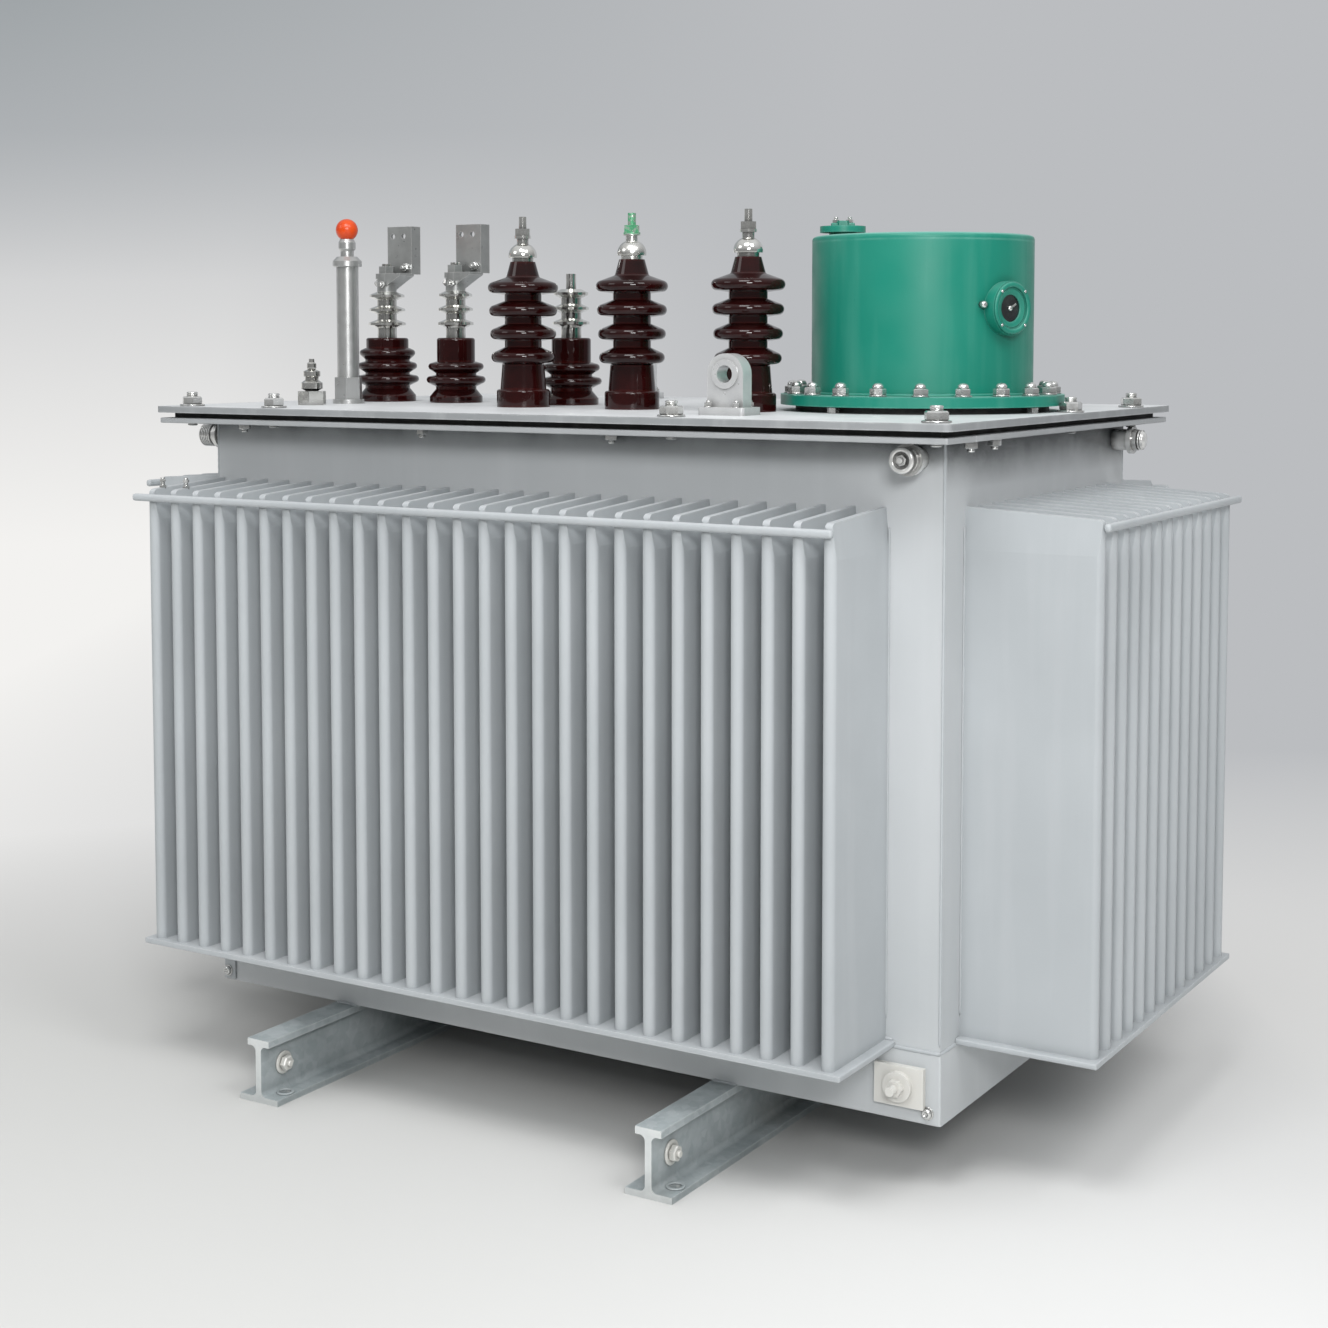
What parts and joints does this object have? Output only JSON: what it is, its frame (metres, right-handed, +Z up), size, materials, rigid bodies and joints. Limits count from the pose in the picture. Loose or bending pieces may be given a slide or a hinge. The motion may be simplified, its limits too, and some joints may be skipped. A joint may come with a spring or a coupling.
{
  "type": "electrical transformer",
  "caption": "Oil-filled electrical transformer: finned tank under a bolted cover with porcelain bushings and a round oil drum, on two rails.",
  "frame": {"origin": "on the ground under the middle of the tank, the bottom centre of the bounding box", "axes": "+X along the tank towards the oil drum, -Y out of the front fins, +Z up"},
  "size_m": [1.636, 1.07, 1.305],
  "materials": {
    "grey_paint": "satin light grey paint",
    "galvanised": "dull galvanised",
    "gasket": "black rubber",
    "porcelain": "glossy brown glaze",
    "terminal_metal": "tinned, worn",
    "plated_steel": "zinc plated",
    "orange_plastic": "glossy orange",
    "green_paint": "glossy green paint",
    "gauge_glass": "clear over a dark dial",
    "earth_plate": "cream plating"
  },
  "bodies": {
    "root": {"rail_left": "galvanised", "rail_right": "galvanised", "base_pan": "grey_paint", "front_wall": "grey_paint", "back_wall": "grey_paint", "left_wall": "grey_paint", "right_wall": "grey_paint", "front_fins": "grey_paint", "back_fins": "grey_paint", "left_fins": "grey_paint", "right_fins": "grey_paint", "fin_ledges": "grey_paint", "tie_bars": "grey_paint", "rim_long_bars": "grey_paint", "rim_end_bars": "grey_paint", "cover_gasket": "gasket", "cover_plate": "grey_paint", "hv_porcelain_1": "porcelain", "hv_porcelain_2": "porcelain", "hv_porcelain_3": "porcelain", "hv_terminal_1": "terminal_metal", "hv_terminal_2": "terminal_metal", "hv_terminal_3": "terminal_metal", "lv_porcelain_1": "porcelain", "lv_porcelain_2": "porcelain", "lv_porcelain_3": "porcelain", "lv_terminal_1": "terminal_metal", "lv_terminal_2": "terminal_metal", "lv_terminal_3": "terminal_metal", "lv_flag_1": "terminal_metal", "lv_flag_2": "terminal_metal", "filler_pipe": "plated_steel", "float_ball": "orange_plastic", "relief_valve": "plated_steel", "lifting_lug_front": "plated_steel", "lifting_lug_back": "plated_steel", "drum_gasket": "gasket", "drum_flange": "green_paint", "drum_shell": "green_paint", "drum_top": "green_paint", "drum_cap": "green_paint", "oil_gauge": "green_paint", "gauge_glass": "gauge_glass", "lashing_bosses": "plated_steel", "earth_terminal": "earth_plate"}
  },
  "joints": []
}
